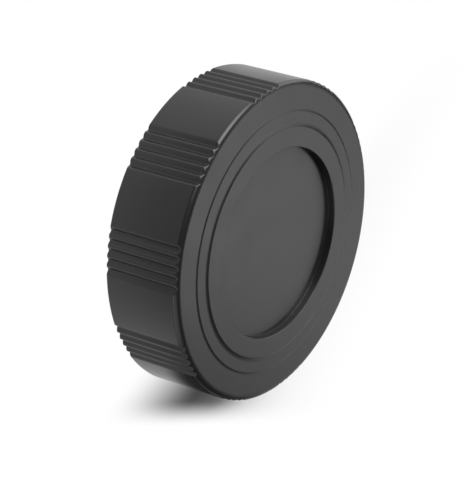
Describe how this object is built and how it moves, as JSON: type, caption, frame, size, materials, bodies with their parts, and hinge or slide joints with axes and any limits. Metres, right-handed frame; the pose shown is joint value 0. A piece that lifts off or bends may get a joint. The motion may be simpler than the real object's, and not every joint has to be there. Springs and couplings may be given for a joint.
{
  "type": "slip-on lens cap",
  "caption": "Round slip-on lens cap in dark satin plastic, with groups of grip grooves and a stepped face with a round pocket.",
  "frame": {"origin": "centre of the mouth rim's plane, on the cap's axis", "axes": "+Z along the cap's axis, from the open mouth out through the closed face; +X through the middle of a plain stretch of skirt between two groups of grip grooves"},
  "size_m": [0.0612, 0.061, 0.0155],
  "materials": {
    "satin_plastic": "black plastic, injection moulded with a fine satin surface"
  },
  "bodies": {
    "root": {"cap": "satin_plastic"}
  },
  "joints": []
}
